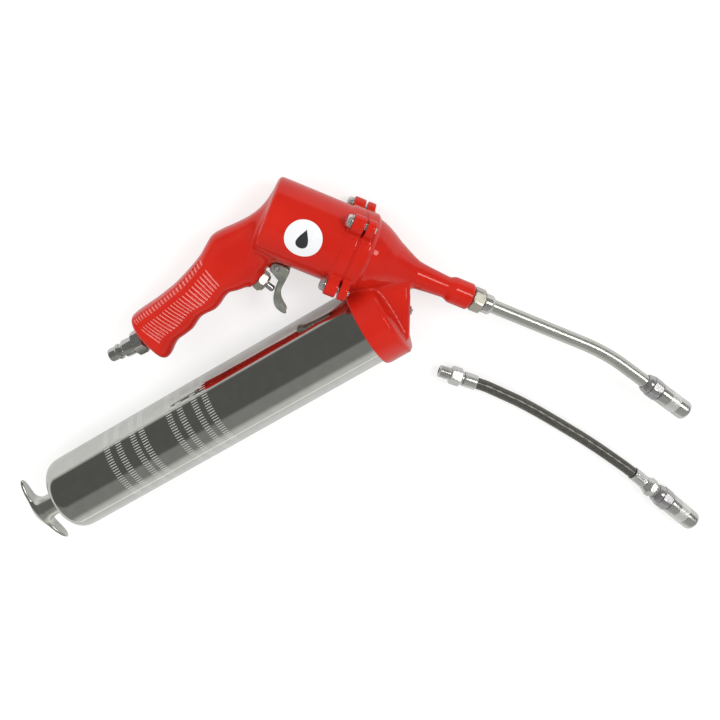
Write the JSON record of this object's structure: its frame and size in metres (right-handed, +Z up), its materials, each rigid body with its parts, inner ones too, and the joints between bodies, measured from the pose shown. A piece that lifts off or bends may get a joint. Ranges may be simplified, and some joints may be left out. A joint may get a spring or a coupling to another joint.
{
  "type": "air-operated grease gun",
  "caption": "Pistol-grip air-operated grease gun with a chromed cartridge barrel set back at an angle, a bent steel outlet tube with a gripping coupler, and a loose flexible whip hose.",
  "frame": {"origin": "centre of the box round the gun without its loose hose, on the surface it lies on", "axes": "The gun lies on its side. +X runs along the air cylinder towards the outlet, +Y across it away from the grip, +Z up out of the gun's side."},
  "size_m": [0.5098, 0.3336, 0.064],
  "materials": {
    "air_inlet_plug": "bright zinc plate",
    "air_piston": "bright zinc plate",
    "barrel": "bright chrome plate",
    "barrel_gasket": "black, matt",
    "check_ball": "bright zinc plate",
    "check_spring": "bright zinc plate",
    "coupler_body": "bright zinc plate",
    "coupler_jaw_1": "bright zinc plate",
    "coupler_jaw_2": "bright zinc plate",
    "coupler_jaw_3": "bright zinc plate",
    "coupler_seal": "black, matt",
    "coupler_sleeve": "bright chrome plate",
    "extension_tube": "bright chrome plate",
    "flange_gasket": "black, matt",
    "flange_screw_1": "bright zinc plate",
    "flange_screw_2": "bright zinc plate",
    "flange_screw_3": "bright zinc plate",
    "flange_screw_4": "bright zinc plate",
    "flange_washer_1": "bright zinc plate",
    "flange_washer_2": "bright zinc plate",
    "flange_washer_3": "bright zinc plate",
    "flange_washer_4": "bright zinc plate",
    "follower_cup": "black, matt",
    "follower_plate": "bright zinc plate",
    "follower_rod": "bright zinc plate",
    "follower_spring": "bright zinc plate",
    "front_head": "gloss red enamel over cast aluminium",
    "hose": "black, matt",
    "hose_coupler_body": "bright zinc plate",
    "hose_coupler_jaw_1": "bright zinc plate",
    "hose_coupler_jaw_2": "bright zinc plate",
    "hose_coupler_jaw_3": "bright zinc plate",
    "hose_coupler_seal": "black, matt",
    "hose_coupler_sleeve": "bright chrome plate",
    "hose_end_fitting": "bright zinc plate",
    "hose_inlet_ferrule": "bright zinc plate",
    "hose_male_fitting": "bright zinc plate",
    "hose_outlet_ferrule": "bright zinc plate",
    "label_disc": "white printed film, satin",
    "outlet_adaptor": "bright zinc plate",
    "piston_nut": "bright zinc plate",
    "piston_seal": "black, matt",
    "plunger": "bright chrome plate",
    "plunger_bush": "nickel-plated brass",
    "plunger_seal": "black, matt",
    "pull_handle": "bright chrome plate",
    "rear_body": "gloss red enamel over cast aluminium",
    "return_spring": "bright zinc plate",
    "trigger": "dark cast, satin",
    "trigger_pin": "bright zinc plate",
    "tube_nut": "bright chrome plate",
    "valve_body": "nickel-plated brass",
    "valve_seal": "black, matt",
    "valve_spring": "bright zinc plate",
    "valve_stem": "bright chrome plate",
    "vent_body": "nickel-plated brass",
    "vent_pin": "bright zinc plate"
  },
  "bodies": {
    "gun": {"air_inlet_plug": "air_inlet_plug", "barrel": "barrel", "barrel_gasket": "barrel_gasket", "check_spring": "check_spring", "coupler_body": "coupler_body", "coupler_jaw_1": "coupler_jaw_1", "coupler_jaw_2": "coupler_jaw_2", "coupler_jaw_3": "coupler_jaw_3", "coupler_seal": "coupler_seal", "coupler_sleeve": "coupler_sleeve", "extension_tube": "extension_tube", "flange_gasket": "flange_gasket", "flange_screw_1": "flange_screw_1", "flange_screw_2": "flange_screw_2", "flange_screw_3": "flange_screw_3", "flange_screw_4": "flange_screw_4", "flange_washer_1": "flange_washer_1", "flange_washer_2": "flange_washer_2", "flange_washer_3": "flange_washer_3", "flange_washer_4": "flange_washer_4", "follower_spring": "follower_spring", "front_head": "front_head", "hose": "hose", "hose_coupler_body": "hose_coupler_body", "hose_coupler_jaw_1": "hose_coupler_jaw_1", "hose_coupler_jaw_2": "hose_coupler_jaw_2", "hose_coupler_jaw_3": "hose_coupler_jaw_3", "hose_coupler_seal": "hose_coupler_seal", "hose_coupler_sleeve": "hose_coupler_sleeve", "hose_end_fitting": "hose_end_fitting", "hose_inlet_ferrule": "hose_inlet_ferrule", "hose_male_fitting": "hose_male_fitting", "hose_outlet_ferrule": "hose_outlet_ferrule", "label_disc": "label_disc", "outlet_adaptor": "outlet_adaptor", "plunger_bush": "plunger_bush", "plunger_seal": "plunger_seal", "rear_body": "rear_body", "return_spring": "return_spring", "trigger_pin": "trigger_pin", "tube_nut": "tube_nut", "valve_body": "valve_body", "valve_spring": "valve_spring", "vent_body": "vent_body"},
    "piston": {"air_piston": "air_piston", "piston_seal": "piston_seal", "piston_nut": "piston_nut", "plunger": "plunger"},
    "check_ball": {"check_ball": "check_ball"},
    "rod": {"follower_rod": "follower_rod", "pull_handle": "pull_handle"},
    "follower": {"follower_plate": "follower_plate", "follower_cup": "follower_cup"},
    "trigger": {"trigger": "trigger"},
    "valve_stem": {"valve_stem": "valve_stem", "valve_seal": "valve_seal"},
    "vent_pin": {"vent_pin": "vent_pin"}
  },
  "joints": [
    {"name": "trigger_pull", "type": "hinge", "parent": "gun", "child": "trigger", "pos_m": [-0.1026, 0.10438, 0.032], "axis": [0, 0, -1], "range_deg": [0, 12], "stiffness_Nm_per_rad": 1.5},
    {"name": "valve_slide", "type": "slide", "parent": "gun", "child": "valve_stem", "axis": [-0.9583, 0.2857, 0], "range_m": [0, 0.0033], "deforming": ["valve_spring"]},
    {"name": "piston_stroke", "type": "slide", "parent": "gun", "child": "piston", "axis": [1, 0, 0], "range_m": [0, 0.022], "stiffness_N_per_m": 600, "deforming": ["return_spring"]},
    {"name": "check_lift", "type": "slide", "parent": "gun", "child": "check_ball", "axis": [1, 0, 0], "range_m": [0, 0.0015], "stiffness_N_per_m": 50, "deforming": ["check_spring"]},
    {"name": "rod_pull", "type": "slide", "parent": "gun", "child": "rod", "axis": [-0.5821, -0.8131, 0], "range_m": [0, 0.19], "stiffness_N_per_m": 40},
    {"name": "follower_slide", "type": "slide", "parent": "gun", "child": "follower", "axis": [-0.5821, -0.8131, 0], "range_m": [0, 0.191], "deforming": ["follower_spring"]},
    {"name": "vent_press", "type": "slide", "parent": "gun", "child": "vent_pin", "axis": [-0.9259, -0.3778, 0], "range_m": [0, 0.0008], "stiffness_N_per_m": 50}
  ],
  "couplings": [
    {"joint": "valve_slide", "follows": "trigger_pull", "m_per_rad": 0.01526},
    {"joint": "follower_slide", "follows": "rod_pull", "ratio": 1}
  ]
}
